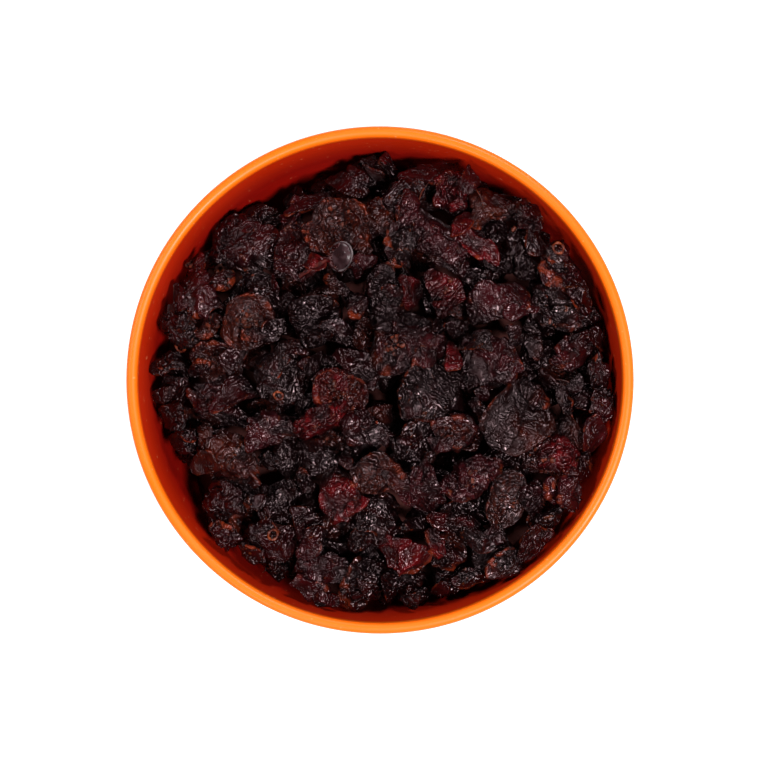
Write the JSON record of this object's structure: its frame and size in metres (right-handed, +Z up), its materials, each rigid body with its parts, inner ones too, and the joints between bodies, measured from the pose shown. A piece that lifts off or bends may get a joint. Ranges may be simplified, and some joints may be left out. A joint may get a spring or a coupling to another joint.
{
  "type": "bowl of dried cranberries",
  "caption": "Round orange plastic snack bowl with a foot ring and a rounded lip, heaped with loose dried cranberries.",
  "frame": {"origin": "centre of the foot ring, on the surface that the bowl stands on", "axes": "+Z up; +Y to the far side of the heap and +X to its right side, as the picture shows them from straight above"},
  "size_m": [0.12, 0.12, 0.0559],
  "materials": {
    "bowl": "glossy moulded plastic, orange, a little translucent at the lip",
    "cranberries": null
  },
  "bodies": {
    "root": {"bowl": "bowl", "cranberries": "cranberries"}
  },
  "joints": []
}
